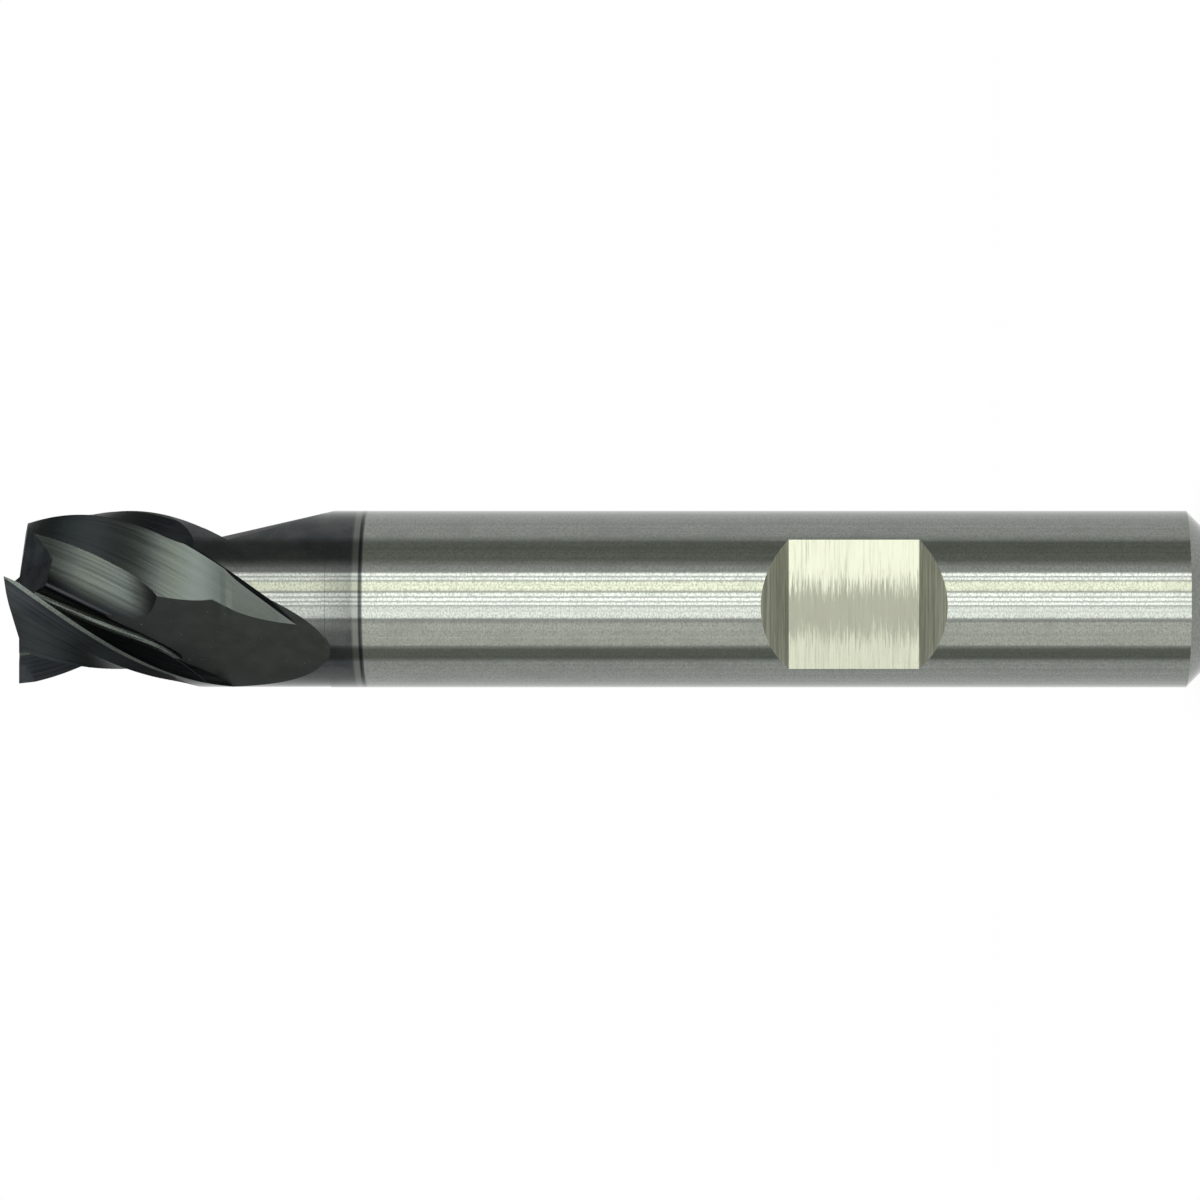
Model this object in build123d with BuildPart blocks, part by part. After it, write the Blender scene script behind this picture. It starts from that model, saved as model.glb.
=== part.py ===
"""Three-flute end mill with a side-lock flat on its shank, ground from one bar.

The tool stands on its shank end. The origin is the centre of that end face, +Z runs
along the axis to the cutting tip, and the side-lock flat faces -Y. All sizes are in
millimetres and degrees.
"""
from build123d import *
import os
from math import cos, pi, radians, sin, sqrt, tan

# Plain bar, and the fluted head whose back taper narrows it below the tip
DIAMETER = 10.0
LENGTH = 67.2
RADIUS = DIAMETER / 2
END_CHAMFER = 1.0
HEAD_START = 49.3
BACK_TAPER = 0.0015

# Side-lock flat
FLAT_LENGTH = 7.3
FLAT_DEPTH = 1.56
FLAT_CENTRE = 19.8
FLAT_END_SLOPE = 45.0

# Teeth, unevenly spaced to break up chatter
HELIX_ANGLE = 35.5
FIRST_TOOTH = -67.5
TOOTH_STEPS = (0, 125, 115)
LEAD = pi * DIAMETER / tan(radians(HELIX_ANGLE))
TURN_PER_MM = 360 / LEAD
CLEAR_RADIUS = 1.5 * RADIUS
OVER_TIP = 1.0
STATION_PITCH = 0.7

# Gullet pass: the rake face, its root and the flat behind the root
RAKE_ANGLE = 10.0
RAKE_DEPTH = 2.7
ROOT_FILLET = 0.35
CREST_RADIUS = 3.6
CREST_ANGLE = 12.0
CREST_FILLET = 0.35
WEB_NORMAL = 30.0
GULLET_LIFT_START = 60.5
GULLET_END = 54.9
GULLET_LIFT = 2.9

# Clearance pass: the flat back of the next tooth and the short wall at its heel
BACK_NORMAL = 67.0
BACK_DISTANCE = 3.94
BACK_LIFT_START = 54.9
BACK_END = 50.4
BACK_LIFT = 0.92
BACK_LIFT_POWER = 1.25
WALL_ANGLE = 103.7
WALL_LEAN = 26.0
WALL_SWING_START = 54.2
WALL_SWING = 45.0

# Scoop where the wheel runs out of the flute: its floor is flat ahead, arched behind
SCOOP_TOP = 62.6
SCOOP_END = 48.8
SCOOP_ANGLE = -48.2
SCOOP_TURN = 0.47
SCOOP_DISTANCE = 3.43
SCOOP_LIFT_START = 55.7
SCOOP_SLOPE = 13.3
SCOOP_ARCH_RADIUS = 13.1
SCOOP_ARCH_TURN = 24.0
SCOOP_REACH = 8.0
BOUND_EDGE_ANGLE = 3.5
BOUND_ROOT_ANGLE = -9.2
BOUND_ROOT_RADIUS = 2.5
BOUND_FAR_ANGLE = 140.0
BOUND_REACH = 12.0

# Flat reliefs behind each cutting edge, measured from the tangent at the edge
LAND_WIDTH = 0.3
LAND_RELIEF = 8.0
HEEL_RELIEF = 20.0
RELIEF_END = 55.8

# End teeth
DISH_ANGLE = 1.5
END_RELIEF = 8.0
END_LAND = 0.9
END_HEEL_RELIEF = 13.0
EDGE_SETBACK = 0.22
GASH_RAKE = 24.5
GASH_START = 0.8
GASH_SLOPE = 45.0
GASH_VALLEY = 1.3
GASH_NEAR_SLOPE = 19.5
GASH_FAR_SLOPE = 15.7
CUT_REACH = 9.0


def at_angle(distance, degrees_ahead):
    """A point by its distance from the axis and its angle ahead of the cutting edge."""
    angle = radians(degrees_ahead)
    return Vector(distance * cos(angle), distance * sin(angle))


def tooth_angles():
    """The angle of each tooth's cutting edge at the tip."""
    angles = []
    angle = FIRST_TOOTH
    for step in TOOTH_STEPS:
        angle += step
        angles.append(angle)
    return angles


def stations(bottom, top):
    """Even heights from the bottom to the top of a helical cut."""
    count = round((top - bottom) / STATION_PITCH)
    return [bottom + (top - bottom) * index / count for index in range(count + 1)]


def helix_plane(height, lift=0.0, lift_angle=0.0):
    """A level plane turned with the helix and moved outward by the lift."""
    turn = (height - LENGTH) * TURN_PER_MM
    heading = radians(turn)
    shift = radians(turn + lift_angle)
    origin = (lift * cos(shift), lift * sin(shift), height)
    return Plane(origin=origin, x_dir=(cos(heading), sin(heading), 0), z_dir=(0, 0, 1))


def lift_at(height, start, end, full_lift, power=2):
    """The wheel leaves the bar: no lift at the start, all of it at the end."""
    part = max(0.0, (start - height) / (start - end))
    return full_lift * part**power


def line_meets_circle(point, direction, radius):
    """The point on a line, past the given point, at the given distance from the axis."""
    along = point.dot(direction)
    return point + direction * (-along + sqrt(along**2 - point.dot(point) + radius**2))


def head_radius(height):
    """The head's radius, which the back taper narrows below the tip."""
    return RADIUS - BACK_TAPER * (LENGTH - height)


def gullet_points(height):
    """Corners of the gullet: above the cutting edge, root, crest and above the web."""
    edge = at_angle(head_radius(height), 0)
    rake = at_angle(1, RAKE_ANGLE)
    root = edge - rake * RAKE_DEPTH
    crest = at_angle(CREST_RADIUS, CREST_ANGLE)
    web_end = line_meets_circle(crest, at_angle(1, WEB_NORMAL + 90), CLEAR_RADIUS)
    rake_start = line_meets_circle(edge, rake, CLEAR_RADIUS)
    return [rake_start, root, crest, web_end]


def back_points(height):
    """Corners of the clearance cut: the flat stops turning and lifts as its wall leans back."""
    normal_angle = BACK_NORMAL + TURN_PER_MM * max(0, BACK_LIFT_START - height)
    lift = lift_at(height, BACK_LIFT_START, BACK_END, BACK_LIFT, BACK_LIFT_POWER)
    distance = BACK_DISTANCE + lift
    lean =WALL_LEAN + lift_at(height, WALL_SWING_START, BACK_END, WALL_SWING)
    normal = at_angle(1, normal_angle)
    wall = at_angle(1, WALL_ANGLE + lean)
    wall_top = at_angle(head_radius(height), WALL_ANGLE)
    foot = wall_top + wall * ((distance - wall_top.dot(normal)) / wall.dot(normal))
    flat_start = line_meets_circle(foot, at_angle(1, normal_angle - 90), CLEAR_RADIUS)
    wall_end = line_meets_circle(foot, wall, CLEAR_RADIUS)
    return [flat_start, foot, wall_end, at_angle(CLEAR_RADIUS, BACK_NORMAL)]


def bound_points():
    """Corners of the space ahead of the rake face, where the scoop may cut."""
    return [
        at_angle(CLEAR_RADIUS, BOUND_EDGE_ANGLE),
        at_angle(BOUND_ROOT_RADIUS, BOUND_ROOT_ANGLE),
        at_angle(CLEAR_RADIUS, BOUND_FAR_ANGLE),
        at_angle(BOUND_REACH, BACK_NORMAL),
    ]


def scoop_plane(height):
    """A level plane with its origin on the scoop's floor and its x direction outward."""
    rise = max(0.0, SCOOP_LIFT_START - height)
    distance = SCOOP_DISTANCE + rise * tan(radians(SCOOP_SLOPE))
    heading = radians(SCOOP_ANGLE - SCOOP_TURN * (SCOOP_LIFT_START - height))
    x_dir = Vector(cos(heading), sin(heading), 0)
    return Plane(origin=x_dir * distance + Vector(0, 0, height), x_dir=x_dir, z_dir=(0, 0, 1))


def relief_points(height):
    """Corners of the relief cut: cutting edge, end of the narrow land, then outside."""
    edge = at_angle(head_radius(height), 0)
    land_end = edge + at_angle(LAND_WIDTH, -90 - LAND_RELIEF)
    relief_end = line_meets_circle(land_end, at_angle(1, -90 - HEEL_RELIEF), CLEAR_RADIUS)
    return [edge, land_end, relief_end, at_angle(CLEAR_RADIUS, -HEEL_RELIEF)]


def end_plane(along):
    """An upright plane across a tooth at the tip, seen from outside, ahead to the right."""
    return Plane(origin=(along, 0, LENGTH), x_dir=(0, 1, 0), z_dir=(1, 0, 0))


def gash_points(along):
    """Corners of the gash at a distance out: rake wall, its foot, the valley, the far side."""
    valley_depth = (along - GASH_START) * tan(radians(GASH_SLOPE))
    near = tan(radians(GASH_NEAR_SLOPE))
    far = tan(radians(GASH_FAR_SLOPE))
    rake = tan(radians(GASH_RAKE))
    foot_depth = (valley_depth - near * (GASH_VALLEY + EDGE_SETBACK)) / (1 + near * rake)
    return [
        (-EDGE_SETBACK + CUT_REACH * rake, CUT_REACH),
        (-EDGE_SETBACK - foot_depth * rake, -foot_depth),
        (GASH_VALLEY, -valley_depth),
        (GASH_VALLEY + CUT_REACH, CUT_REACH * far - valley_depth),
        (GASH_VALLEY + CUT_REACH, CUT_REACH),
    ]


with BuildPart() as gullet:
    for height in stations(GULLET_END, LENGTH + OVER_TIP):
        lift = lift_at(height, GULLET_LIFT_START, GULLET_END, GULLET_LIFT)
        with BuildSketch(helix_plane(height, lift, RAKE_ANGLE)):
            with BuildLine():
                corners = gullet_points(height)
                FilletPolyline(*corners, radius=[ROOT_FILLET, CREST_FILLET])
                Polyline(corners[-1], at_angle(CLEAR_RADIUS, WEB_NORMAL), corners[0])
            make_face()
    loft()

with BuildPart() as clearance:
    for height in stations(BACK_END, LENGTH + OVER_TIP):
        with BuildSketch(helix_plane(height)):
            with BuildLine():
                Polyline(*back_points(height), close=True)
            make_face()
    loft()

with BuildPart() as relief:
    for height in stations(RELIEF_END, LENGTH + OVER_TIP):
        with BuildSketch(helix_plane(height)):
            with BuildLine():
                Polyline(*relief_points(height), at_angle(CLEAR_RADIUS, 0), close=True)
            make_face()
    loft()

with BuildPart() as scoop:
    for height in stations(SCOOP_END, SCOOP_TOP):
        with BuildSketch(helix_plane(height)):
            with BuildLine():
                Polyline(*bound_points(), close=True)
            make_face()
    loft()
    for height in stations(SCOOP_END, SCOOP_TOP):
        with BuildSketch(scoop_plane(height)):
            with BuildLine():
                Line((0, SCOOP_REACH), (0, 0))
                arch = CenterArc((-SCOOP_ARCH_RADIUS, 0), SCOOP_ARCH_RADIUS, 0, -SCOOP_ARCH_TURN)
                Polyline(arch @ 1, (SCOOP_REACH, -SCOOP_REACH), (SCOOP_REACH, SCOOP_REACH), (0, SCOOP_REACH))
            make_face()
    loft(mode=Mode.INTERSECT)

# The end face behind each end tooth falls away in two steps and dips to the centre
with BuildPart() as end_relief:
    with BuildSketch(end_plane(0)):
        with BuildLine():
            dish = -RADIUS * tan(radians(DISH_ANGLE))
            tooth = (-EDGE_SETBACK, dish)
            land = (tooth[0] - END_LAND, tooth[1] - END_LAND * tan(radians(END_RELIEF)))
            fall = (CUT_REACH + land[0]) * tan(radians(END_HEEL_RELIEF))
            Polyline(
                tooth,
                land,
                (-CUT_REACH, land[1] - fall),
                (-CUT_REACH, CUT_REACH),
                (tooth[0], CUT_REACH),
                close=True,
            )
        make_face()
    extrude(amount=CUT_REACH, dir=(cos(radians(DISH_ANGLE)), 0, sin(radians(DISH_ANGLE))))

# Each gash starts beside the centre and deepens outward in front of its end tooth
with BuildPart() as gash:
    for along in (GASH_START, CUT_REACH):
        with BuildSketch(end_plane(along)):
            with BuildLine():
                Polyline(*gash_points(along), close=True)
            make_face()
    loft(ruled=True)

with BuildPart() as end_mill:
    with BuildSketch(Plane.XZ):
        with BuildLine():
            Polyline(
                (0, 0),
                (RADIUS - END_CHAMFER, 0),
                (RADIUS, END_CHAMFER),
                (RADIUS, HEAD_START),
                (head_radius(HEAD_START), HEAD_START),
                (RADIUS, LENGTH),
                (0, LENGTH),
                close=True,
            )
        make_face()
    revolve(axis=Axis.Z)

    for angle in tooth_angles():
        for cut in (scoop, clearance, gullet, relief, end_relief, gash):
            add(cut.part, rotation=(0, 0, angle), mode=Mode.SUBTRACT)

    with BuildSketch(Plane.YZ):
        with BuildLine():
            floor = FLAT_DEPTH - RADIUS
            outside = -RADIUS - FLAT_DEPTH
            flare = (floor - outside) / tan(radians(FLAT_END_SLOPE))
            half = FLAT_LENGTH / 2
            Polyline(
                (floor, FLAT_CENTRE - half),
                (floor, FLAT_CENTRE + half),
                (outside, FLAT_CENTRE + half + flare),
                (outside, FLAT_CENTRE - half - flare),
                close=True,
            )
        make_face()
    extrude(amount=RADIUS, both=True, mode=Mode.SUBTRACT)

end_mill.part.label = "end_mill"
os.makedirs("parts", exist_ok=True)
export_step(end_mill.part, "parts/end_mill.step")
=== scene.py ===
"""The looks of a three-flute end mill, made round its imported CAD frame.

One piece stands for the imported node. It is ground as the tool is: level sections, worked
out as whole arrays, are carried up a helix to make the wheels' paths, and those are cut
from a clean bar. Each path carries the finish that it leaves. Lengths in the code are in
millimetres until a mesh is filled, and angles are in degrees.
"""

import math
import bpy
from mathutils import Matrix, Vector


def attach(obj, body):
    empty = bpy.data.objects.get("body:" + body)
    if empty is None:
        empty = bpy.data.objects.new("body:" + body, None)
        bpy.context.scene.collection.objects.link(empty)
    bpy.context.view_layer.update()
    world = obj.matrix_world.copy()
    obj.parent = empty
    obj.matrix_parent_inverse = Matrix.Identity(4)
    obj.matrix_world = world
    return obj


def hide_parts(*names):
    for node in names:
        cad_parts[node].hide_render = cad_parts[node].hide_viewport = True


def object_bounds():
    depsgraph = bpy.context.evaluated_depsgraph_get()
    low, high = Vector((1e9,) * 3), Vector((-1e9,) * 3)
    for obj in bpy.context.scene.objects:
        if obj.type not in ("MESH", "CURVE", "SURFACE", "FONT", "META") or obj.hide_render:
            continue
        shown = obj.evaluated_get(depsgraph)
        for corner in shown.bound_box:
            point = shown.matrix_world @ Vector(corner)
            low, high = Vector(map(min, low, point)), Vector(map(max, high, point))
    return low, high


bl_info = {
    "name": "End Mill Looks",
    "version": (1, 0, 0),
    "blender": (4, 5, 0),
    "location": "3D View > Sidebar > End Mill",
    "description": "Grinds a three-flute end mill from a bar and gives it its finishes",
    "category": "Add Mesh",
}

import bmesh
import bpy
import numpy as np
from bpy.props import FloatProperty, FloatVectorProperty, PointerProperty
from bpy.types import Operator, Panel, PropertyGroup
from mathutils import Matrix, Vector

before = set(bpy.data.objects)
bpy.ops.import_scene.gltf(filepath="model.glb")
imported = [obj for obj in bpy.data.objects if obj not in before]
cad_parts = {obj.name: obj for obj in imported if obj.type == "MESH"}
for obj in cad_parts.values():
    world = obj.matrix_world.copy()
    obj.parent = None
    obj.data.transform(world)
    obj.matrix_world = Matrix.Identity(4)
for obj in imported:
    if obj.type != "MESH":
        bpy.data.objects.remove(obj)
CAD_BOUNDS = [list(corner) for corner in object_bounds()]
LOW, HIGH = CAD_BOUNDS
MM = 0.001

# Shank and bar
RING_HEIGHT = 47.3
HEAD_START = 49.3
END_CHAMFER = 1.0
BACK_TAPER = 0.0015
FLAT_LENGTH = 7.3
FLAT_DEPTH = 1.56
FLAT_CENTRE = 19.8
FLAT_OVERRUN = 1.2
HEAD_STEP = 0.02
BAR_SIDES = 288

# Teeth and the helix
FIRST_TOOTH = -67.5
TOOTH_STEPS = (0, 125, 115)
OVER_TIP = 1.0
CLEAR_SHARE = 1.5
STATION_PITCH = 0.09
FILLET_STEPS = 9

# Gullet: rake face, root and web
RAKE_ANGLE = 10.0
RAKE_DEPTH = 2.7
ROOT_FILLET = 0.35
CREST_RADIUS = 3.6
CREST_ANGLE = 12.0
CREST_FILLET = 0.35
WEB_NORMAL = 30.0
GULLET_LIFT_START = 60.5
GULLET_END = 54.9
GULLET_LIFT = 2.9

# Clearance: back of the next tooth and the wall at its heel
BACK_NORMAL = 67.0
BACK_DISTANCE = 3.94
BACK_LIFT_START = 54.9
BACK_END = 50.4
BACK_LIFT = 0.92
BACK_LIFT_POWER = 1.25
WALL_ANGLE = 103.7
WALL_LEAN = 26.0
WALL_SWING_START = 54.2
WALL_SWING = 45.0

# Scoop at the end of the flute
SCOOP_TOP = 62.6
SCOOP_END = 48.8
SCOOP_ANGLE = -48.2
SCOOP_TURN = 0.47
SCOOP_DISTANCE = 3.43
SCOOP_LIFT_START = 55.7
SCOOP_SLOPE = 13.3
SCOOP_ARCH_RADIUS = 13.1
SCOOP_ARCH_TURN = 24.0
SCOOP_ARCH_STEPS = 16
SCOOP_REACH = 8.0
BOUND_EDGE_ANGLE = 3.5
BOUND_ROOT_ANGLE = -9.2
BOUND_ROOT_RADIUS = 2.5
BOUND_FAR_ANGLE = 140.0
BOUND_REACH = 12.0

# Relief behind each cutting edge
LAND_WIDTH = 0.3
LAND_RELIEF = 8.0
HEEL_RELIEF = 20.0
RELIEF_END = 55.8
RELIEF_FADE_START = 58.6
RELIEF_FADE = 0.5

# End teeth
DISH_ANGLE = 1.5
END_RELIEF = 8.0
END_LAND = 0.9
END_HEEL_RELIEF = 13.0
EDGE_SETBACK = 0.22
GASH_RAKE = 24.5
GASH_START = 0.8
GASH_SLOPE = 45.0
GASH_VALLEY = 1.3
GASH_NEAR_SLOPE = 19.5
GASH_FAR_SLOPE = 15.7
GASH_STEPS = 12
CUT_REACH = 9.0

SHARP_ANGLE = 16.0
BUMP_DEPTH = 0.02

# Heights, or angles ahead of a tooth's edge, between which a finish gives way. The neck ones place a
# painted highlight, the web and back ones painted highlight and painted shade
NECK_HIGHLIGHT_HEIGHTS = (47.4, 50.5)
NECK_HIGHLIGHT_ANGLE = -83.0
ROOT_STREAK_HEIGHTS = (57.4, 60.0)
WEB_LIT_HEIGHTS = (58.6, 60.9)
WEB_LIT_AHEAD = (17.0, 38.0)
WEB_END_AHEAD = (100.0, 90.0)
BACK_LIT_HEIGHTS = (56.0, 59.0)
BACK_SHADED_HEIGHTS = (59.0, 62.0)
SCOOP_COATED = (54.0, 60.0)

# Camera: distances in pixels of the 1200-pixel picture, and its scale
PICTURE = 1200
PIXELS_PER_MM = 17.67
TIP_PIXEL = 15.8
FOOT_PIXEL = 800
AXIS_PIXEL = 599.0
CAMERA_PIXELS = 5500
CAMERA_ANGLE = -85.0
SENSOR = 36.0

# Strips of the key lamp, mirrored as the bright lines along the shank: the angles up the
# picture where each starts and ends, its strength and its colour
LAMP_DISTANCE = 0.5
LAMP_WIDTH = 0.9
WHITE_LIGHT = (1.0, 1.0, 0.98)
YELLOW_LIGHT = (1.0, 1.0, 0.78)
WARM_LIGHT = (1.0, 0.98, 0.84)
KEY_STRIPS = (
    (30.0, 33.6, 1.25, WHITE_LIGHT),
    (24.8, 28.0, 1.15, WHITE_LIGHT),
    (10.4, 22.6, 0.82, YELLOW_LIGHT),
    (3.4, 7.6, 1.15, WHITE_LIGHT),
    (-2.6, 1.4, 1.15, WHITE_LIGHT),
    (-7.8, -4.4, 1.15, WHITE_LIGHT),
    (-24.8, -9.8, 0.68, WHITE_LIGHT),
    (-63.0, -30.0, 0.17, WARM_LIGHT),
)
# Watts for each degree of a strip's height, at a strength of one
KEY_WATTS = 0.084

# Dark cards: names, angles up the picture and heights. All their sizes are in metres
CARDS = (("upper_card", 65.0, 0.44), ("lower_card", -76.0, 0.24))
CARD_DISTANCE = 0.45
CARD_WIDTH = 1.0
CARD_EDGE = 0.3
CARD_COLOUR = (0.4, 0.42, 0.39, 1.0)

# Floor, in metres, and surroundings
FLOOR_RADIUS = 0.35
FLOOR_SIDES = 96
FLOOR_GLOW = 1.06
FLOOR_GLOW_SHARE = 0.85
WORLD_STRENGTH = 0.6


class EndMillSizes(PropertyGroup):
    """The sizes that the whole tool follows."""

    diameter: FloatProperty(
        name="Diameter",
        description="Diameter of the shank and of the cutting head at its tip",
        default=HIGH[0] - LOW[0],
        min=0.001,
        unit="LENGTH",
    )
    length: FloatProperty(
        name="Length",
        description="Overall length from the shank end to the cutting tip",
        default=HIGH[2] - LOW[2],
        min=0.001,
        unit="LENGTH",
    )
    helix: FloatProperty(
        name="Helix angle",
        description="Angle between the cutting edges and the axis",
        default=math.radians(35.5),
        subtype="ANGLE",
    )


class EndMillColours(PropertyGroup):
    """The colours of the ground steel and of the coating."""

    steel: FloatVectorProperty(
        name="Ground steel",
        description="Colour of the bare ground shank",
        subtype="COLOR",
        default=(0.23, 0.245, 0.225),
    )
    bright: FloatVectorProperty(
        name="Flat",
        description="Colour of the bright side-lock flat",
        subtype="COLOR",
        default=(0.29, 0.30, 0.24),
    )
    coating: FloatVectorProperty(
        name="Coating",
        description="Colour of the coating in the flutes",
        subtype="COLOR",
        default=(0.014, 0.016, 0.018),
    )
    worn: FloatVectorProperty(
        name="Ground coating",
        description="Colour of the coating over coarse grinding lines",
        subtype="COLOR",
        default=(0.046, 0.053, 0.049),
    )


# Level sections


def unit(vectors):
    """Vectors divided by their own lengths."""
    return vectors / np.linalg.norm(vectors, axis=-1, keepdims=True)


def polar(distance, degrees_ahead):
    """Distance times cosine and sine of the angle ahead of the cutting edge."""
    distance, angle = np.broadcast_arrays(distance, np.radians(degrees_ahead))
    return np.stack([distance * np.cos(angle), distance * np.sin(angle)], axis=-1)


def line_meets_circle(point, direction, radius):
    """Point plus direction times the positive root of |point + t direction| = radius."""
    along = np.sum(point * direction, axis=-1, keepdims=True)
    square = np.sum(point * point, axis=-1, keepdims=True)
    return point + direction * (np.sqrt(along**2 - square + radius**2) - along)


def rounded(before, corner, after, radius):
    """An arc of that radius that touches both lines of a corner.

    The centre lies on the corner's bisector, radius over the sine of the half angle away.
    The arc's points are spherical blends of the two radii to the touching points.
    """
    first = unit(before - corner)
    second = unit(after - corner)
    half = np.arccos(np.sum(first * second, axis=-1, keepdims=True)) / 2
    centre = corner + unit(first + second) * radius / np.sin(half)
    start = corner + first * radius / np.tan(half) - centre
    end = corner + second * radius / np.tan(half) - centre
    sweep = (math.pi - 2 * half)[..., None]
    share = np.linspace(0, 1, FILLET_STEPS)[:, None]
    arms = np.sin((1 - share) * sweep) * start[:, None] + np.sin(share * sweep) * end[:, None]
    return centre[:, None] + arms / np.sin(sweep)


def lift_at(heights, start, end, full_lift, power=2):
    """Full lift times the share of the way from start to end, to a power."""
    return full_lift * np.clip((start - heights) / (start - end), 0, None) ** power


def heights_between(bottom, top):
    """Even heights about one station pitch apart."""
    return np.linspace(bottom, top, round((top - bottom) / STATION_PITCH) + 1)


class Grinder:
    """Works out every wheel's path for one set of sizes."""

    def __init__(self, sizes):
        self.radius = sizes.diameter / MM / 2
        self.length = sizes.length / MM
        lead = math.tau * self.radius / math.tan(sizes.helix)
        self.turn = 360 / lead
        self.clear = CLEAR_SHARE * self.radius
        self.top = self.length + OVER_TIP

    def head_radius(self, heights):
        """Radius less the back taper times the distance below the tip."""
        return self.radius - BACK_TAPER * (self.length - heights)

    def twisted(self, sections, heights):
        """Sections, (n, m, 2), turned about the axis by the helix's turn at each height."""
        turn = np.radians((heights - self.length) * self.turn)[:, None]
        x, y = sections[..., 0], sections[..., 1]
        level = np.broadcast_to(heights[:, None], x.shape)
        return np.stack(
            [x * np.cos(turn) - y * np.sin(turn), x * np.sin(turn) + y * np.cos(turn), level],
            axis=-1,
        )

    def gullet(self):
        """Rake line, filleted root, wall, filleted crest and web line, then lifted out."""
        heights = heights_between(GULLET_END, self.top)
        edge = polar(self.head_radius(heights), 0)
        rake = polar(np.ones_like(heights), RAKE_ANGLE)
        root = edge - rake * RAKE_DEPTH
        crest = polar(np.full_like(heights, CREST_RADIUS), CREST_ANGLE)
        web_line = polar(np.ones_like(heights), WEB_NORMAL + 90)
        web_end = line_meets_circle(crest, web_line, self.clear)
        rake_start = line_meets_circle(edge, rake, self.clear)
        far = polar(np.full_like(heights, self.clear), WEB_NORMAL)
        root_arc = rounded(rake_start, root, crest, ROOT_FILLET)
        crest_arc = rounded(root, crest, web_end, CREST_FILLET)
        parts = (rake_start[:, None], root_arc, crest_arc, web_end[:, None], far[:, None])
        sections = np.concatenate(parts, axis=1)
        lift = lift_at(heights, GULLET_LIFT_START, GULLET_END, GULLET_LIFT)
        sections = sections + (rake * lift[:, None])[:, None]
        finishes = ["rake"] + ["root"] * FILLET_STEPS + ["rake"] * (FILLET_STEPS - 1) + ["web"] * 3
        return self.twisted(sections, heights), finishes

    def clearance(self):
        """A flat back and a wall at its heel; the flat stops turning and lifts as it ends."""
        heights = heights_between(BACK_END, self.top)
        still = self.turn * np.clip(BACK_LIFT_START - heights, 0, None)
        lift = lift_at(heights, BACK_LIFT_START, BACK_END, BACK_LIFT, BACK_LIFT_POWER)
        swing = lift_at(heights, WALL_SWING_START, BACK_END, WALL_SWING)
        distance = (BACK_DISTANCE + lift)[:, None]
        normal = polar(np.ones_like(heights), BACK_NORMAL + still)
        tangent = polar(np.ones_like(heights), BACK_NORMAL + still - 90)
        wall = polar(np.ones_like(heights), WALL_ANGLE + WALL_LEAN + swing)
        wall_top = polar(self.head_radius(heights), WALL_ANGLE)
        reach = distance - np.sum(wall_top * normal, axis=-1, keepdims=True)
        foot = wall_top + wall * reach / np.sum(wall * normal, axis=-1, keepdims=True)
        flat_start = line_meets_circle(foot, tangent, self.clear)
        wall_end = line_meets_circle(foot, wall, self.clear)
        far = polar(np.full_like(heights, self.clear), BACK_NORMAL)
        sections = np.stack([flat_start, foot, wall_end, far], axis=1)
        return self.twisted(sections, heights), ["back", "rake", "back", "back"]

    def relief(self):
        """Two flats that fall away behind the cutting edge."""
        heights = heights_between(RELIEF_END, self.top)
        edge = polar(self.head_radius(heights), 0)
        land_end = edge + polar(LAND_WIDTH, -90 - LAND_RELIEF)
        heel = polar(np.ones_like(heights), -90 - HEEL_RELIEF)
        relief_end = line_meets_circle(land_end, heel, self.clear)
        behind = polar(np.full_like(heights, self.clear), -HEEL_RELIEF)
        above = polar(np.full_like(heights, self.clear), 0)
        sections = np.stack([edge, land_end, relief_end, behind, above], axis=1)
        fade = lift_at(heights, RELIEF_FADE_START, RELIEF_END, RELIEF_FADE)
        sections = sections + polar(fade, -HEEL_RELIEF)[:, None]
        return self.twisted(sections, heights), ["land", "rake", "land", "land", "land"]

    def scoop_bound(self):
        """The space ahead of the rake face, where the scoop may cut."""
        heights = heights_between(SCOOP_END, SCOOP_TOP)
        corners = polar(
            np.array([self.clear, BOUND_ROOT_RADIUS, self.clear, BOUND_REACH]),
            np.array([BOUND_EDGE_ANGLE, BOUND_ROOT_ANGLE, BOUND_FAR_ANGLE, BACK_NORMAL]),
        )
        sections = np.broadcast_to(corners, (len(heights), *corners.shape))
        return self.twisted(sections, heights), ["rake"] * 4

    def scoop_floor(self):
        """A floor that is flat ahead and an arc behind, rising in a straight slope."""
        heights = heights_between(SCOOP_END, SCOOP_TOP)
        turn = np.radians(np.linspace(0, SCOOP_ARCH_TURN, SCOOP_ARCH_STEPS))
        arc = SCOOP_ARCH_RADIUS * np.stack([np.cos(turn) - 1, -np.sin(turn)], axis=-1)
        reach = SCOOP_REACH
        section = np.concatenate([[(0, reach)], arc, [(reach, -reach), (reach, reach)]])
        rise = np.clip(SCOOP_LIFT_START - heights, 0, None)
        distance = SCOOP_DISTANCE + rise * math.tan(math.radians(SCOOP_SLOPE))
        heading = SCOOP_ANGLE - SCOOP_TURN * (SCOOP_LIFT_START - heights)
        outward = polar(np.ones_like(heights), heading)[:, None]
        across = polar(np.ones_like(heights), heading + 90)[:, None]
        level = distance[:, None, None] + section[None, :, :1]
        flat = outward * level + across * section[None, :, 1:]
        rings = np.concatenate(
            [flat, np.broadcast_to(heights[:, None, None], (*flat.shape[:2], 1))], axis=-1
        )
        return rings, ["scoop"] * rings.shape[1]

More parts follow.
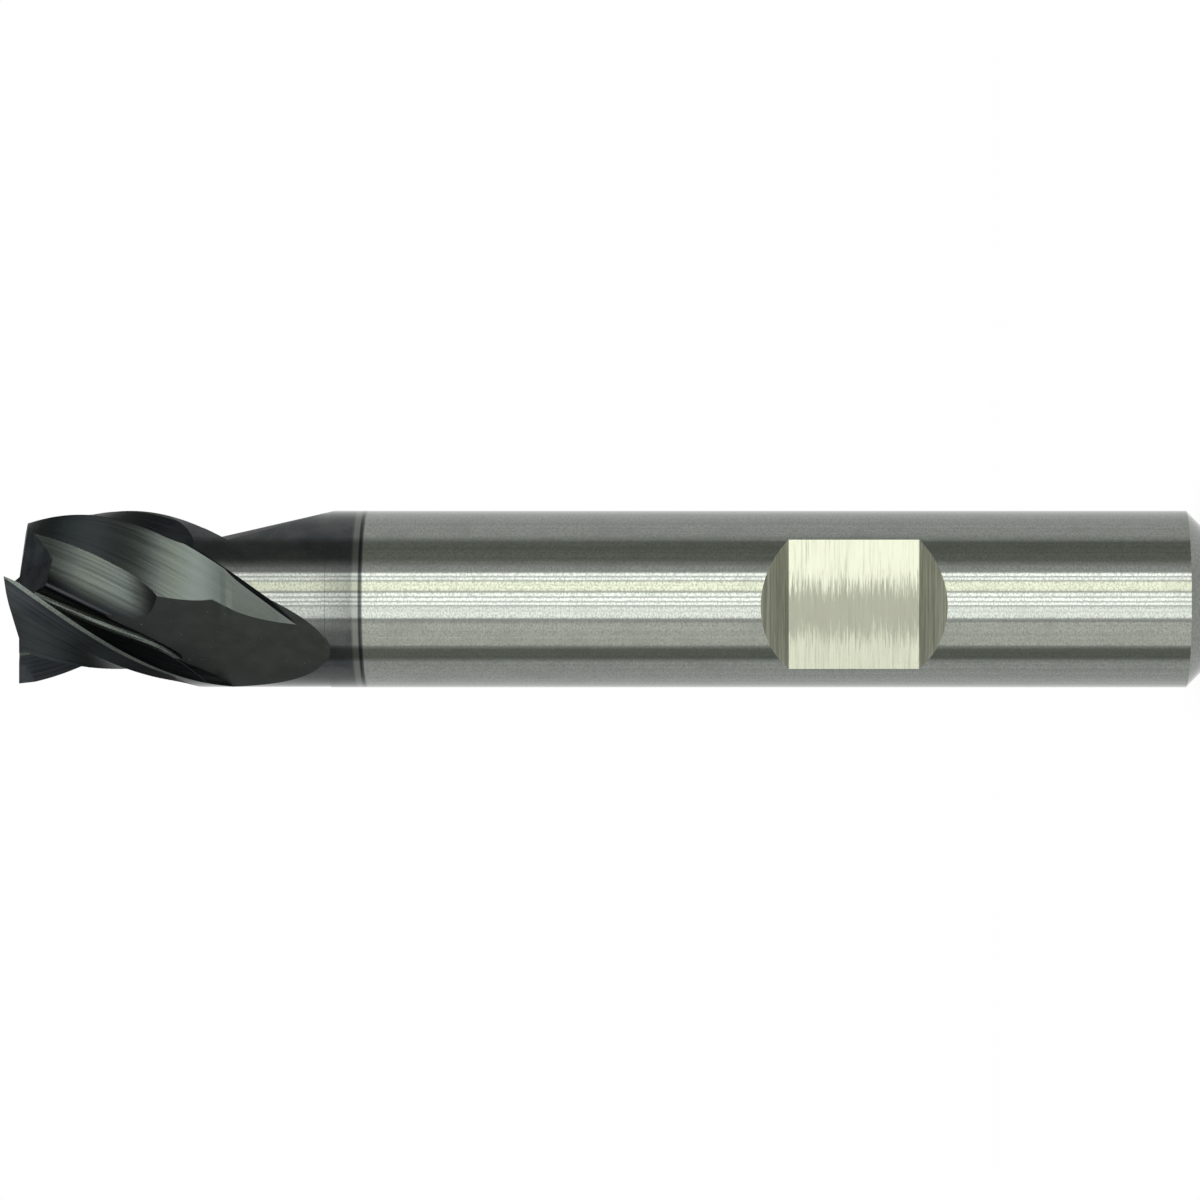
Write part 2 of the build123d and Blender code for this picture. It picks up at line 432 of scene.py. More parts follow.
    def end_relief(self):
        """Two steps that fall away behind an end tooth, carried out along the dish angle."""
        dish = math.radians(DISH_ANGLE)
        tooth = (-EDGE_SETBACK, -self.radius * math.tan(dish))
        land_fall = END_LAND * math.tan(math.radians(END_RELIEF))
        land = (tooth[0] - END_LAND, tooth[1] - land_fall)
        fall = (CUT_REACH + land[0]) * math.tan(math.radians(END_HEEL_RELIEF))
        section = np.array(
            [
                tooth,
                land,
                (-CUT_REACH, land[1] - fall),
                (-CUT_REACH, CUT_REACH),
                (tooth[0], CUT_REACH),
            ]
        )
        start = np.column_stack([np.zeros(len(section)), section[:, 0], section[:, 1] + self.length])
        end = start + CUT_REACH * np.array([math.cos(dish), 0, math.sin(dish)])
        return np.stack([start, end]), ["end"] * len(section)

    def gash(self):
        """A ruled notch in front of an end tooth that deepens outward."""
        near, far, rake = (
            math.tan(math.radians(angle)) for angle in (GASH_NEAR_SLOPE, GASH_FAR_SLOPE, GASH_RAKE)
        )
        along = np.linspace(GASH_START, CUT_REACH, GASH_STEPS)
        valley = (along - GASH_START) * math.tan(math.radians(GASH_SLOPE))
        foot = (valley - near * (GASH_VALLEY + EDGE_SETBACK)) / (1 + near * rake)
        flat = np.ones_like(along)
        far_side = GASH_VALLEY + CUT_REACH
        across = np.stack(
            [
                (CUT_REACH * rake - EDGE_SETBACK) * flat,
                -EDGE_SETBACK - foot * rake,
                GASH_VALLEY * flat,
                far_side * flat,
                far_side * flat,
            ],
            axis=1,
        )
        up = np.stack(
            [CUT_REACH * flat, -foot, -valley, CUT_REACH * far - valley, CUT_REACH * flat], axis=1
        )
        out = np.broadcast_to(along[:, None], across.shape)
        return np.stack([out, across, up + self.length], axis=-1), ["end"] * 5

    def bar(self):
        """The bar's outline turned about the axis: chamfer, shank, step and tapered head."""
        outline = np.array(
            [
                (self.radius - END_CHAMFER, 0),
                (self.radius, END_CHAMFER),
                (self.radius, HEAD_START),
                (self.head_radius(HEAD_START), HEAD_START + HEAD_STEP),
                (self.radius, self.length),
            ]
        )
        turn = np.linspace(0, math.tau, BAR_SIDES, endpoint=False)
        radius = outline[:, :1]
        level = np.broadcast_to(outline[:, 1:], (len(outline), BAR_SIDES))
        rings = np.stack([radius * np.cos(turn), radius * np.sin(turn), level], axis=-1)
        return rings, ["shank"] * BAR_SIDES

    def side_flat(self):
        """The side-lock flat with its 45 degree ends, carried across the shank."""
        floor = FLAT_DEPTH - self.radius
        outside = -self.radius - FLAT_DEPTH
        flare = floor - outside
        half = FLAT_LENGTH / 2
        section = np.array(
            [
                (floor, FLAT_CENTRE - half),
                (floor, FLAT_CENTRE + half),
                (outside, FLAT_CENTRE + half + flare),
                (outside, FLAT_CENTRE - half - flare),
            ]
        )
        sides = np.array([-self.radius, self.radius]) * FLAT_OVERRUN
        rings = np.stack([np.column_stack([np.full(len(section), x), section]) for x in sides])
        return rings, ["flat", "bevel", "flat", "bevel"]


# Solids


def solid_from_rings(name, rings, finishes, materials):
    """Quads between neighbouring rings of points, closed by a face over each end ring."""
    count, around = rings.shape[:2]
    index = np.arange(count * around).reshape(count, around)
    ahead = np.roll(index, -1, axis=1)
    quads = np.stack([index[:-1], ahead[:-1], ahead[1:], index[1:]], axis=-1).reshape(-1, 4)
    faces = quads.tolist() + [index[0][::-1].tolist(), index[-1].tolist()]
    mesh = bpy.data.meshes.new(name)
    mesh.from_pydata(rings.reshape(-1, 3).tolist(), [], faces)
    for material in materials.values():
        mesh.materials.append(material)
    order = {finish: place for place, finish in enumerate(materials)}
    slots = np.tile([order[finish] for finish in finishes], count - 1).tolist()
    slots += [order[finishes[0]]] * 2
    mesh.polygons.foreach_set("material_index", slots)
    shape = bmesh.new()
    shape.from_mesh(mesh)
    bmesh.ops.recalc_face_normals(shape, faces=shape.faces)
    shape.to_mesh(mesh)
    shape.free()
    solid = bpy.data.objects.new(name, mesh)
    bpy.context.scene.collection.objects.link(solid)
    return solid


def turned_about_axis(rings, degrees):
    """Rings turned about the axis."""
    cosine, sine = math.cos(math.radians(degrees)), math.sin(math.radians(degrees))
    return rings @ np.array([[cosine, sine, 0], [-sine, cosine, 0], [0, 0, 1]])


def path_solid(name, path, angle, materials):
    """The solid of one wheel's path, turned to the tooth at that angle."""
    rings, finishes = path
    return solid_from_rings(name, turned_about_axis(rings, angle), finishes, materials)


def combine(body, tool, operation):
    """Keeps the result of one exact cut or overlap in the body and removes the tool."""
    modifier = body.modifiers.new("cut", "BOOLEAN")
    modifier.solver = "MANIFOLD"
    modifier.operation = operation
    modifier.object = tool
    graph = bpy.context.evaluated_depsgraph_get()
    result = bpy.data.meshes.new_from_object(body.evaluated_get(graph), depsgraph=graph)
    body.modifiers.clear()
    used = (body.data, tool.data)
    body.data = result
    bpy.data.objects.remove(tool)
    for mesh in used:
        bpy.data.meshes.remove(mesh)
    if not result.polygons:
        raise RuntimeError(f"nothing is left of {body.name}")


def tooth_angles():
    """The angle of each tooth's cutting edge at the tip: the steps added up."""
    return FIRST_TOOTH + np.cumsum(TOOTH_STEPS)


# Shader maths


class Wire:
    """A socket's output, with arithmetic that adds Math nodes."""

    def __init__(self, paint, socket):
        self.paint = paint
        self.socket = socket

    def maths(self, operation, *values):
        """Adds one Math node on the values."""
        return self.paint.node("ShaderNodeMath", {"operation": operation}, dict(enumerate(values)))

    def __add__(self, other):
        return self.maths("ADD", self, other)

    def __sub__(self, other):
        return self.maths("SUBTRACT", self, other)

    def __rsub__(self, other):
        return self.maths("SUBTRACT", other, self)

    def __mul__(self, other):
        return self.maths("MULTIPLY", self, other)


class Paint:
    """A material, or a world, and the nodes that make it."""

    def __init__(self, owner):
        self.owner = owner
        owner.use_nodes = True
        self.tree = owner.node_tree
        self.tree.nodes.clear()

    def node(self, kind, settings=None, sockets=None, output=0):
        """Adds a node: its settings first, then its sockets' values and links."""
        node = self.tree.nodes.new(kind)
        for name, value in (settings or {}).items():
            setattr(node, name, value)
        for place, value in (sockets or {}).items():
            if isinstance(value, Wire):
                self.tree.links.new(value.socket, node.inputs[place])
            else:
                node.inputs[place].default_value = value
        return Wire(self, node.outputs[output]) if node.outputs else node

    def span(self, value, low, high, to_low=0.0, to_high=1.0):
        """A smooth step from one value to another as the input goes from low to high."""
        sockets = {0: value, 1: low, 2: high, 3: to_low, 4: to_high}
        return self.node("ShaderNodeMapRange", {"interpolation_type": "SMOOTHSTEP"}, sockets)

    def blend(self, share, first, second):
        """Two colours mixed by a share."""
        sockets = {0: share, 6: first, 7: second}
        return self.node("ShaderNodeMix", {"data_type": "RGBA"}, sockets, 2)

    def scaled(self, vector, factors):
        """A vector times one factor for each axis."""
        return self.node("ShaderNodeVectorMath", {"operation": "MULTIPLY"}, {0: vector, 1: factors})

    def part(self, vector, axis):
        """A vector's x, y or z, for an axis of 0, 1 or 2."""
        return self.node("ShaderNodeSeparateXYZ", None, {0: vector}, axis)

    def noise(self, vector, stretch, detail, roughness):
        """Noise on a vector, in cycles for each millimetre along each axis."""
        stretched = self.scaled(vector, stretch)
        sockets = {"Vector": stretched, "Scale": 1.0, "Detail": detail, "Roughness": roughness}
        return self.node("ShaderNodeTexNoise", {"noise_dimensions": "3D"}, sockets)

    def spot(self):
        """The place on the piece, in millimetres."""
        return self.scaled(self.node("ShaderNodeTexCoord", output=3), (1 / MM,) * 3)

    def place(self):
        """The place on the piece in millimetres, and its height."""
        spot = self.spot()
        return spot, self.part(spot, 2)

    def untwisted(self, spot, height, grinder):
        """The place turned back to the tip by the helix's turn, so that helices run straight up."""
        angle = (height - grinder.length) * -math.radians(grinder.turn)
        return self.node(
            "ShaderNodeVectorRotate", {"rotation_type": "Z_AXIS"}, {"Vector": spot, "Angle": angle}
        )

    def azimuth(self, spot):
        """The angle about the axis, in degrees: the arc tangent of y over x."""
        x, y = (self.part(spot, axis) for axis in (0, 1))
        return y.maths("ARCTAN2", y, x) * math.degrees(1)

    def within_teeth(self, straight, low, full):
        """One where the angle ahead of any tooth's edge is past full, none before low."""
        ahead = self.azimuth(straight)
        total = 0.0
        for angle in tooth_angles():
            local = ahead.maths("WRAP", ahead - float(angle), 180.0, -180.0)
            total = self.span(local, low, full) * self.span(local, *WEB_END_AHEAD) + total
        return total

    def surface(self, colour, rough, constants, relief=None, strength=0.0):
        """Ends the material in one Principled shader, with a bump where there is relief."""
        sockets = {"Base Color": colour, "Roughness": rough, **constants}
        if relief is not None:
            bump = {"Height": relief, "Strength": strength, "Distance": BUMP_DEPTH * MM}
            sockets["Normal"] = self.node("ShaderNodeBump", None, bump)
        shader = self.node("ShaderNodeBsdfPrincipled", None, sockets)
        self.node("ShaderNodeOutputMaterial", None, {"Surface": shader})
        return self.owner


def opaque(colour, share=1.0):
    """A colour as four numbers, scaled by a share."""
    return (*(share * channel for channel in colour), 1.0)


def new_paint(name):
    """An empty material of that name."""
    return Paint(bpy.data.materials.new(name))


def shank_finish(colours, grinder):
    """Cylindrically ground steel with mottle, and a coated neck with a painted highlight in three
    bare lobes and a painted shade line at the ring.
    """
    paint = new_paint("ground_shank")
    spot, height = paint.place()
    lines = paint.noise(spot, (9.0, 9.0, 0.012), 2.0, 0.6)
    grain = paint.noise(spot, (7.0, 7.0, 11.0), 3.0, 0.7)
    smudge = paint.noise(spot, (0.6, 0.6, 0.45), 4.0, 0.65)
    tone = paint.blend(
        paint.span(lines, 0.38, 0.6), opaque(colours.steel, 0.96), opaque(colours.steel, 1.1)
    )
    tone = paint.blend(paint.span(grain, 0.4, 0.64, 0.0, 0.65), tone, opaque(colours.steel, 0.6))
    tone = paint.blend(paint.span(smudge, 0.48, 0.7, 0.0, 0.4), tone, opaque(colours.steel, 0.74))
    # Painted highlight: bare steel in three lobes round the neck, one of them where the key strips'
    # highlight falls on the coating.
    lobe = (paint.azimuth(spot) - NECK_HIGHLIGHT_ANGLE) * math.radians(len(TOOTH_STEPS))
    painted_highlight_lobes = paint.span(lobe.maths("COSINE", lobe), 0.2, 0.9)
    painted_highlight_lobes = painted_highlight_lobes * paint.span(height, *NECK_HIGHLIGHT_HEIGHTS, 0.3, 0.68)
    darker_zone = (1.0 - painted_highlight_lobes) * paint.span(smudge, 0.35, 0.65, 0.9, 0.8)
    darker_zone = darker_zone * paint.span(height, RING_HEIGHT, RING_HEIGHT + 0.1)
    tone = paint.blend(darker_zone, tone, opaque(colours.coating, 1.6))
    # A lighter band just above the ring.
    lighter_zone = paint.span(height, RING_HEIGHT + 0.1, RING_HEIGHT + 0.2) * paint.span(
        height, RING_HEIGHT + 0.6, RING_HEIGHT + 0.4
    )
    tone = paint.blend(lighter_zone * 0.5, tone, opaque(colours.steel, 0.8))
    # Painted shade: a dark line at the ring for the shade of a shallow groove that the bar doesn't
    # have.
    painted_ring_shade = paint.span(height, RING_HEIGHT - 0.12, RING_HEIGHT) * paint.span(
        height, RING_HEIGHT + 0.22, RING_HEIGHT + 0.08
    )
    tone = paint.blend(painted_ring_shade * 0.85, tone, opaque(colours.coating, 1.0))
    rough = paint.span(grain, 0.25, 0.75, 0.12, 0.2)
    constants = {"Metallic": 1.0, "Anisotropic": 0.9, "Anisotropic Rotation": 0.25}
    return paint.surface(tone, rough, constants, grain, 0.02)


def coated(metallic):
    """The shader's fixed values on the coating, which stays dark at a grazing angle too."""
    return {"Metallic": metallic, "Specular Tint": (0.25, 0.25, 0.25, 1.0)}


def rake_finish(colours, grinder):
    """Smooth dark coating on the rake, crest and walls, with faint lines along the helix."""
    paint = new_paint("coated_flute")
    spot, height = paint.place()
    straight = paint.untwisted(spot, height, grinder)
    lines = paint.noise(straight, (7.0, 7.0, 0.05), 3.0, 0.6)
    cloud = paint.noise(spot, (0.8, 0.8, 0.5), 2.0, 0.5)
    tone = paint.blend(
        paint.span(lines, 0.35, 0.7), opaque(colours.coating, 0.8), opaque(colours.coating, 1.5)
    )
    tone = paint.blend(paint.span(cloud, 0.4, 0.7, 0.0, 0.3), tone, opaque(colours.worn, 0.6))
    rough = paint.span(lines, 0.3, 0.7, 0.28, 0.38)
    return paint.surface(tone, rough, coated(0.9), lines, 0.2)


def root_finish(colours, grinder):
    """The flute's rounded root, with light streaks along the helix that give way to plain dark
    coating lower down.
    """
    paint = new_paint("streaked_root")
    spot, height = paint.place()
    straight = paint.untwisted(spot, height, grinder)
    lines = paint.noise(straight, (8.0, 8.0, 0.3), 3.0, 0.6)
    grain = paint.noise(spot, (12.0, 12.0, 12.0), 2.0, 0.6)
    tone = paint.blend(
        paint.span(lines, 0.35, 0.7), opaque(colours.worn, 0.5), opaque(colours.worn, 1.5)
    )
    tone = paint.blend(paint.span(grain, 0.45, 0.7, 0.0, 0.5), tone, opaque(colours.worn, 2.2))
    tone = paint.blend(paint.span(height, *ROOT_STREAK_HEIGHTS), opaque(colours.coating, 0.9), tone)
    return paint.surface(tone, paint.span(grain, 0.3, 0.7, 0.26, 0.36), coated(0.95), grain, 0.1)


def ground_lines(paint, colours, straight, spot):
    """Tone and relief of grinding lines along the helix: coarse, fine and broken by grain."""
    coarse = paint.noise(straight, (4.5, 4.5, 0.1), 4.0, 0.7)
    fine = paint.noise(straight, (20.0, 20.0, 0.35), 2.0, 0.6)
    grain = paint.noise(spot, (14.0, 14.0, 14.0), 2.0, 0.6)
    tone = paint.blend(
        paint.span(coarse, 0.32, 0.62), opaque(colours.worn, 0.75), opaque(colours.worn, 1.5)
    )
    tone = paint.blend(paint.span(fine, 0.5, 0.8, 0.0, 0.5), tone, opaque(colours.worn, 2.4))
    tone = paint.blend(paint.span(grain, 0.35, 0.7, 0.0, 0.35), tone, opaque(colours.worn, 0.8))
    return tone, coarse + fine * 0.5


def web_finish(colours, grinder):
    """Ground lines on the web, with painted shade: the dark coating colour towards its crest and its
    run-out, where the web turns from the lamps.
    """
    paint = new_paint("ground_web")
    spot, height = paint.place()
    straight = paint.untwisted(spot, height, grinder)
    tone, relief = ground_lines(paint, colours, straight, spot)
    # Painted light and shade: the ground lines show where the web catches the lamps, and the dark
    # coating colour stands for its shade.
    lighter_zone = paint.within_teeth(straight, *WEB_LIT_AHEAD) * paint.span(height, *WEB_LIT_HEIGHTS)
    tone = paint.blend(lighter_zone, opaque(colours.coating, 0.5), tone)
    return paint.surface(tone, paint.span(lighter_zone, 0.0, 1.0, 0.28, 0.36), coated(0.95), relief, 0.45)


def back_finish(colours, grinder):
    """Finer ground lines on the backs of the teeth, with a painted highlight lower down and painted
    shade higher up.
    """
    paint = new_paint("ground_back")
    spot, height = paint.place()
    straight = paint.untwisted(spot, height, grinder)
    tone, relief = ground_lines(paint, colours, straight, spot)
    # Painted highlight: lighter ground coating below these heights, where the backs catch the lamps.
    lighter_zone = paint.span(height, *BACK_LIT_HEIGHTS, 0.5, 0.0)
    tone = paint.blend(lighter_zone, tone, opaque(colours.worn, 2.6))
    # Painted shade: dark coating colour above these heights, where the backs turn from the lamps.
    darker_zone = paint.span(height, *BACK_SHADED_HEIGHTS, 0.0, 0.6)
    tone = paint.blend(darker_zone, tone, opaque(colours.coating, 2.2))
    return paint.surface(tone, paint.span(relief, 0.5, 1.0, 0.27, 0.36), coated(0.95), relief, 0.3)


def land_finish(colours, grinder):
    """The narrow ground land, lighter than the rest of the head."""
    paint = new_paint("ground_land")
    spot = paint.spot()
    grain = paint.noise(spot, (10.0, 10.0, 10.0), 2.0, 0.6)
    tone = paint.blend(
        paint.span(grain, 0.3, 0.7), opaque(colours.worn, 1.2), opaque(colours.worn, 2.0)
    )
    rough = paint.span(grain, 0.3, 0.7, 0.34, 0.46)
    return paint.surface(tone, rough, coated(0.9), grain, 0.1)


def scoop_finish(colours, grinder):
    """The smoothest coating, faintly cloudy, with a few light specks."""
    paint = new_paint("coated_scoop")
    spot, height = paint.place()
    cloud = paint.noise(spot, (0.9, 0.9, 0.6), 3.0, 0.6)
    speck = paint.noise(spot, (6.0, 6.0, 6.0), 1.0, 0.4)
    tone = paint.blend(
        paint.span(cloud, 0.35, 0.7), opaque(colours.worn, 0.46), opaque(colours.worn, 0.6)
    )
    darker_zone = paint.span(height, *SCOOP_COATED, 0.0, 0.5)
    tone = paint.blend(darker_zone, tone, opaque(colours.coating, 0.8))
    tone = paint.blend(paint.span(speck, 0.74, 0.8, 0.0, 0.6), tone, opaque(colours.worn, 2.0))
    rough = paint.span(cloud, 0.3, 0.7, 0.4, 0.5)
    return paint.surface(tone, rough, coated(0.6), cloud, 0.05)


def flat_finish(colours, grinder):
    """Bright ground steel with short lines across the axis, and a painted reflection: lighter
    towards one side and duller along a ragged middle band.
    """
    paint = new_paint("ground_flat")
    spot = paint.spot()
    lines = paint.noise(spot, (0.25, 0.25, 9.0), 4.0, 0.75)
    broken = paint.noise(spot, (0.5, 0.5, 13.0), 3.0, 0.8)
    across = paint.part(spot, 0)
    # Painted reflection: lighter towards one side and duller along a ragged middle band, as the
    # lamps mirror in the flat.
    ragged = across + (broken - 0.5) * 5.5
    painted_dull_band = paint.span(ragged, 1.7, 0.5) * paint.span(ragged, -2.4, -1.3)
    tone = paint.blend(
        paint.span(across, -1.5, 1.5), opaque(colours.bright, 0.84), opaque(colours.bright, 1.08)
    )
    tone = paint.blend(painted_dull_band, tone, opaque(colours.bright, 0.54))
    tone = paint.blend(paint.span(lines, 0.48, 0.7, 0.0, 0.5), tone, opaque(colours.bright, 0.5))
    rough = paint.span(lines, 0.3, 0.7, 0.3, 0.42)
    return paint.surface(tone, rough, {"Metallic": 1.0}, lines + broken * 0.5, 0.3)


def bevel_finish(colours, grinder):
    """The flat's sloping ends, greyer, with lines across the axis."""
    paint = new_paint("ground_bevel")
    spot = paint.spot()
    lines = paint.noise(spot, (0.2, 6.0, 6.0), 3.0, 0.7)
    tone = paint.blend(
        paint.span(lines, 0.35, 0.68), opaque(colours.bright, 0.62), opaque(colours.bright, 1.05)
    )
    rough = paint.span(lines, 0.3, 0.7, 0.3, 0.4)
    return paint.surface(tone, rough, {"Metallic": 1.0}, lines, 0.25)


def end_finish(colours, grinder):
    """Coated end teeth with faint cross lines from the gashing wheel."""
    paint = new_paint("coated_end")
    spot = paint.spot()
    lines = paint.noise(spot, (0.8, 0.8, 2.5), 2.0, 0.5)
    cloud = paint.noise(spot, (0.9, 0.9, 0.9), 3.0, 0.6)
    tone = paint.blend(
        paint.span(lines, 0.35, 0.7), opaque(colours.coating, 1.2), opaque(colours.coating, 1.8)
    )
    tone = paint.blend(paint.span(cloud, 0.45, 0.7, 0.0, 0.5), tone, opaque(colours.worn, 0.8))
    return paint.surface(tone, paint.span(cloud, 0.3, 0.7, 0.32, 0.46), coated(0.85))


FINISH_MAKERS = {
    "shank": shank_finish,
    "rake": rake_finish,
    "root": root_finish,
    "web": web_finish,
    "back": back_finish,
    "land": land_finish,
    "scoop": scoop_finish,
    "flat": flat_finish,
    "bevel": bevel_finish,
    "end": end_finish,
}


# Operators


class MESH_OT_end_mill_tool(Operator):
    """Grind the end mill from a bar and finish each ground surface"""

    bl_idname = "mesh.end_mill_tool"
    bl_label = "Grind End Mill"

    def execute(self, context):
        grinder = Grinder(context.scene.end_mill_sizes)
        colours = context.scene.end_mill_colours
        materials = {name: make(colours, grinder) for name, make in FINISH_MAKERS.items()}
        tool = solid_from_rings("ground_end_mill", *grinder.bar(), materials)
        cuts = {
            "clearance": grinder.clearance(),
            "gullet": grinder.gullet(),
            "relief": grinder.relief(),
            "end_relief": grinder.end_relief(),
            "gash": grinder.gash(),
        }
        for angle in tooth_angles():
            scoop = path_solid("scoop", grinder.scoop_floor(), angle, materials)
            bound = path_solid("bound", grinder.scoop_bound(), angle, materials)
            combine(scoop, bound, "INTERSECT")
            combine(tool, scoop, "DIFFERENCE")
            for name, path in cuts.items():
                combine(tool, path_solid(name, path, angle, materials), "DIFFERENCE")
        flat = solid_from_rings("flat", *grinder.side_flat(), materials)
        combine(tool, flat, "DIFFERENCE")
        mesh = tool.data
        mesh.name = tool.name
        points = np.empty(len(mesh.vertices) * 3)
        mesh.vertices.foreach_get("co", points)
        mesh.vertices.foreach_set("co", points * MM)
        mesh.shade_smooth()
        mesh.set_sharp_from_angle(angle=math.radians(SHARP_ANGLE))
        mesh.update()
        shading = tool.modifiers.new("shading", "WEIGHTED_NORMAL")
        shading.keep_sharp = True
        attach(tool, "root")
        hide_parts("end_mill")
        return {"FINISHED"}


class SCENE_OT_end_mill_stage(Operator):
    """Add the floor, the soft lamps, the white surroundings and the camera"""

    bl_idname = "scene.end_mill_stage"
    bl_label = "Set End Mill Stage"

    def execute(self, context):
        scene = context.scene
        add_floor(scene)
        add_camera(scene)
        add_lamps(scene)
        add_world(scene)
        scene.view_settings.view_transform = "Standard"
        return {"FINISHED"}


def view_axes():
    """Unit vectors towards the camera, up the picture and to its right."""
    turn = math.radians(CAMERA_ANGLE)
    back = Vector((math.cos(turn), math.sin(turn), 0))
    return back, Vector((-back.y, back.x, 0)), Vector((0, 0, -1))


def facing(angle):
    """Unit vectors out from the axis at an angle up the picture, and square to that, up."""
    back, up, _ = view_axes()
    turn = math.radians(angle)
    outward = back * math.cos(turn) + up * math.sin(turn)
    return outward, up * math.cos(turn) - back * math.sin(turn)


def aim_point():
    """The point on the axis that the camera faces squarely."""
    pixel = MM / PIXELS_PER_MM
    return Vector((0, 0, HIGH[2] - (FOOT_PIXEL - TIP_PIXEL) * pixel))


def add_camera(scene):
    """A camera square to the axis, its frame slid so that the tool fills the picture."""
    back, up, right = view_axes()
    data = bpy.data.cameras.new("camera")
    camera = bpy.data.objects.new("camera", data)
    scene.collection.objects.link(camera)
    camera.matrix_world = Matrix.Translation(
        aim_point() + back * CAMERA_PIXELS * MM / PIXELS_PER_MM
    ) @ Matrix((right, up, back)).transposed().to_4x4()
    data.sensor_width = SENSOR
    data.lens = SENSOR * CAMERA_PIXELS / PICTURE
    data.shift_x = (PICTURE / 2 - FOOT_PIXEL) / PICTURE
    data.shift_y = (AXIS_PIXEL - PICTURE / 2) / PICTURE
    data.clip_start = 0.01
    data.clip_end = 10
    scene.camera = camera


def add_strip(scene, low, high, strength, colour):
    """A strip of soft lamp between two angles up the picture, facing the tool.

    Its power is its strength times its height, so that equal strengths look equally bright.
    """
    right = view_axes()[2]
    outward, across = facing((low + high) / 2)
    data = bpy.data.lights.new("strip", "AREA")
    data.shape = "RECTANGLE"
    data.size = LAMP_WIDTH
    data.size_y = 2 * LAMP_DISTANCE * math.tan(math.radians(high - low) / 2)
    data.energy = KEY_WATTS * strength * (high - low)
    data.color = colour
    lamp = bpy.data.objects.new("strip", data)
    scene.collection.objects.link(lamp)
    lamp.matrix_world = Matrix.Translation(aim_point() + outward * LAMP_DISTANCE) @ Matrix(
        (right, across, outward)
    ).transposed().to_4x4()


def add_lamps(scene):
    """The strips of a large lamp round the camera, and two dark cards past its ends."""
    for strip in KEY_STRIPS:
        add_strip(scene, *strip)
    for card in CARDS:
        add_card(scene, *card)


def add_card(scene, name, angle, height):
    """A dark card that the polished steel mirrors, hidden from the camera.

    It fades out towards its lower and upper edges.
    """
    outward, across = facing(angle)
    centre = aim_point() + outward * CARD_DISTANCE
    along = view_axes()[2] * CARD_WIDTH / 2
    rise = across * height / 2
    corners = [
        centre - along - rise,
        centre + along - rise,
        centre + along + rise,
        centre - along + rise,
    ]
    mesh = bpy.data.meshes.new(name)
    mesh.from_pydata(corners, [], [(0, 1, 2, 3)])
    paint = new_paint(name)
    level = paint.part(paint.node("ShaderNodeTexCoord", output=0), 1)
    body = paint.span(level, 0.0, CARD_EDGE) * paint.span(level, 1.0, 1.0 - CARD_EDGE)
    clear = paint.node("ShaderNodeBsdfTransparent")
    grey = paint.node("ShaderNodeBsdfDiffuse", None, {"Color": CARD_COLOUR})
    mixed = paint.node("ShaderNodeMixShader", None, {0: body, 1: clear, 2: grey})
    paint.node("ShaderNodeOutputMaterial", None, {"Surface": mixed})
    mesh.materials.append(paint.owner)
    card = bpy.data.objects.new(name, mesh)
    scene.collection.objects.link(card)
    card.visible_camera = False
    card.visible_shadow = False
    card.visible_diffuse = False


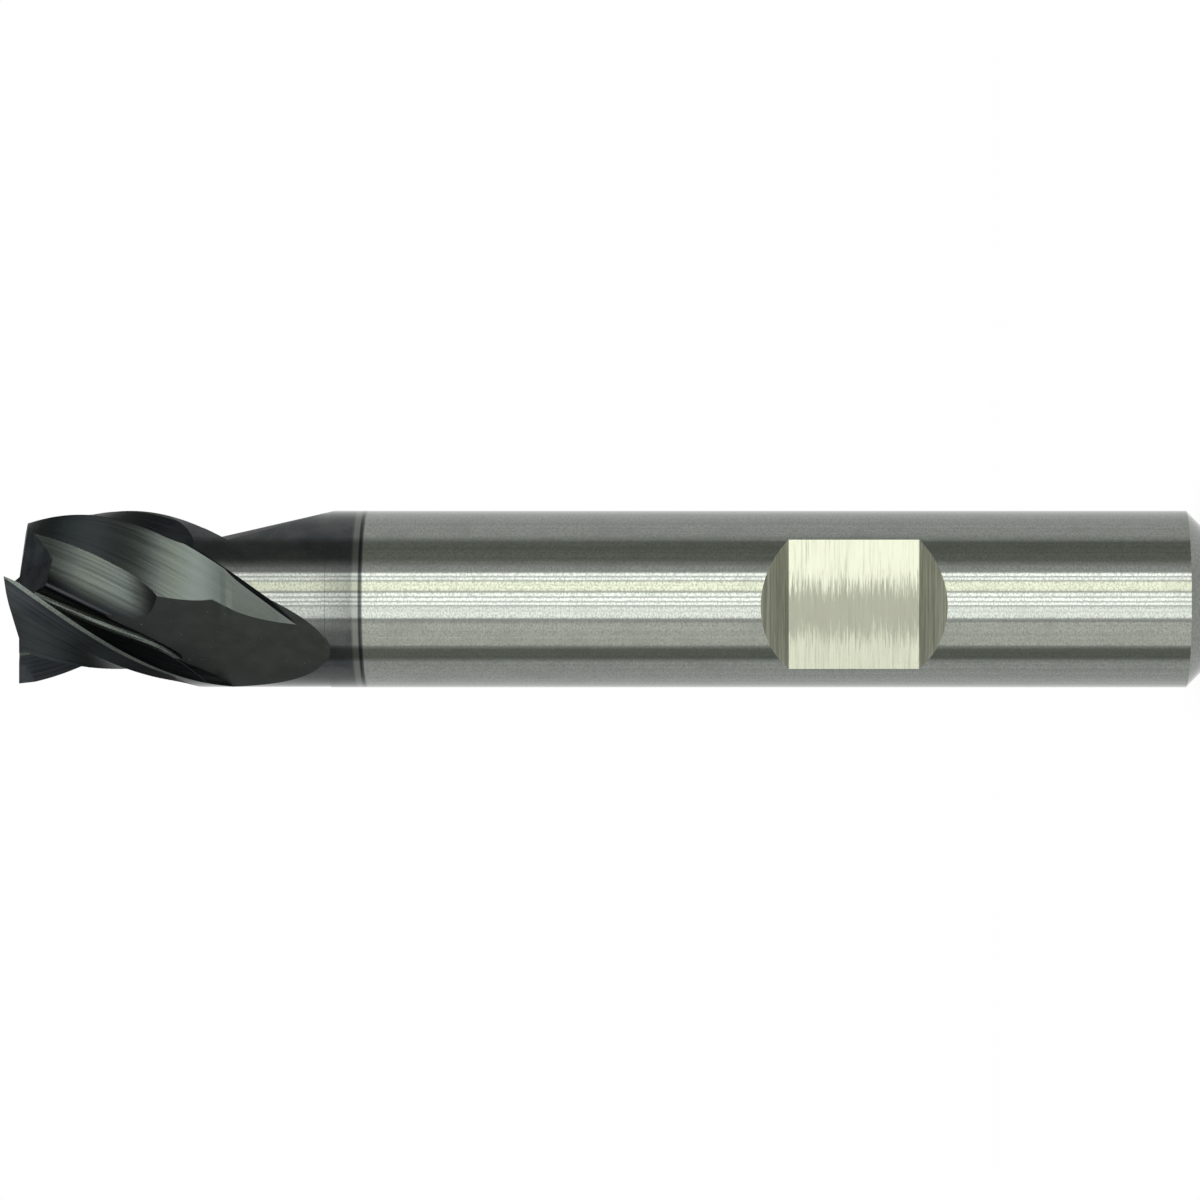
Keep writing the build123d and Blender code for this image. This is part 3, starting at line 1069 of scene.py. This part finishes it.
def add_floor(scene):
    """A pale disc under the shank end, lit from within so that it stays pale.

    It casts no shadow and the steel doesn't mirror it, so that it hides no lamp.
    """
    turn = np.linspace(0, math.tau, FLOOR_SIDES, endpoint=False)
    x, y = FLOOR_RADIUS * np.cos(turn), FLOOR_RADIUS * np.sin(turn)
    rim = np.column_stack([x, y, np.full(FLOOR_SIDES, LOW[2])])
    mesh = bpy.data.meshes.new("floor")
    mesh.from_pydata(rim.tolist(), [], [list(range(FLOOR_SIDES))])
    paint = new_paint("pale_floor")
    shader = paint.node(
        "ShaderNodeBsdfPrincipled",
        None,
        {"Base Color": (0.9, 0.9, 0.9, 1.0), "Roughness": 0.8, "Specular IOR Level": 0.1},
    )
    white = {"Color": (1.0, 1.0, 1.0, 1.0), "Strength": FLOOR_GLOW}
    glow = paint.node("ShaderNodeEmission", None, white)
    mixed = paint.node("ShaderNodeMixShader", None, {0: FLOOR_GLOW_SHARE, 1: shader, 2: glow})
    paint.node("ShaderNodeOutputMaterial", None, {"Surface": mixed})
    mesh.materials.append(paint.owner)
    floor = bpy.data.objects.new("floor", mesh)
    scene.collection.objects.link(floor)
    floor.visible_glossy = False
    floor.visible_shadow = False


def add_world(scene):
    """White to the camera and to reflections, softer as light on the tool."""
    world = bpy.data.worlds.new("surroundings")
    scene.world = world
    paint = Paint(world)
    seen = paint.node("ShaderNodeLightPath")
    outputs = seen.socket.node.outputs
    kinds = ("Is Camera Ray", "Is Glossy Ray", "Is Transmission Ray")
    camera, glossy, through = (Wire(paint, outputs[kind]) for kind in kinds)
    rays = camera + glossy + through
    white = rays.maths("MINIMUM", rays, 1.0)
    strength = white * (1.0 - WORLD_STRENGTH) + WORLD_STRENGTH
    shader = paint.node("ShaderNodeBackground", None, {"Color": (1, 1, 1, 1), "Strength": strength})
    paint.node("ShaderNodeOutputWorld", None, {"Surface": shader})


class VIEW3D_PT_end_mill(Panel):
    """Lists the steps that make the end mill and its stage"""

    bl_label = "End Mill"
    bl_idname = "VIEW3D_PT_end_mill"
    bl_space_type = "VIEW_3D"
    bl_region_type = "UI"
    bl_category = "End Mill"

    def draw(self, context):
        layout = self.layout
        for group in (context.scene.end_mill_sizes, context.scene.end_mill_colours):
            for name in group.__annotations__:
                layout.prop(group, name)
        for operator in OPERATORS:
            layout.operator(operator.bl_idname)


GROUPS = {"end_mill_sizes": EndMillSizes, "end_mill_colours": EndMillColours}
OPERATORS = (MESH_OT_end_mill_tool, SCENE_OT_end_mill_stage)
CLASSES = (*GROUPS.values(), *OPERATORS, VIEW3D_PT_end_mill)


def register():
    for cls in CLASSES:
        bpy.utils.register_class(cls)
    for name, group in GROUPS.items():
        setattr(bpy.types.Scene, name, PointerProperty(type=group))


def unregister():
    for name in GROUPS:
        delattr(bpy.types.Scene, name)
    for cls in reversed(CLASSES):
        bpy.utils.unregister_class(cls)


def main():
    """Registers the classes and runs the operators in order."""
    register()
    bpy.ops.mesh.end_mill_tool()
    bpy.ops.scene.end_mill_stage()


if __name__ == "__main__":
    main()
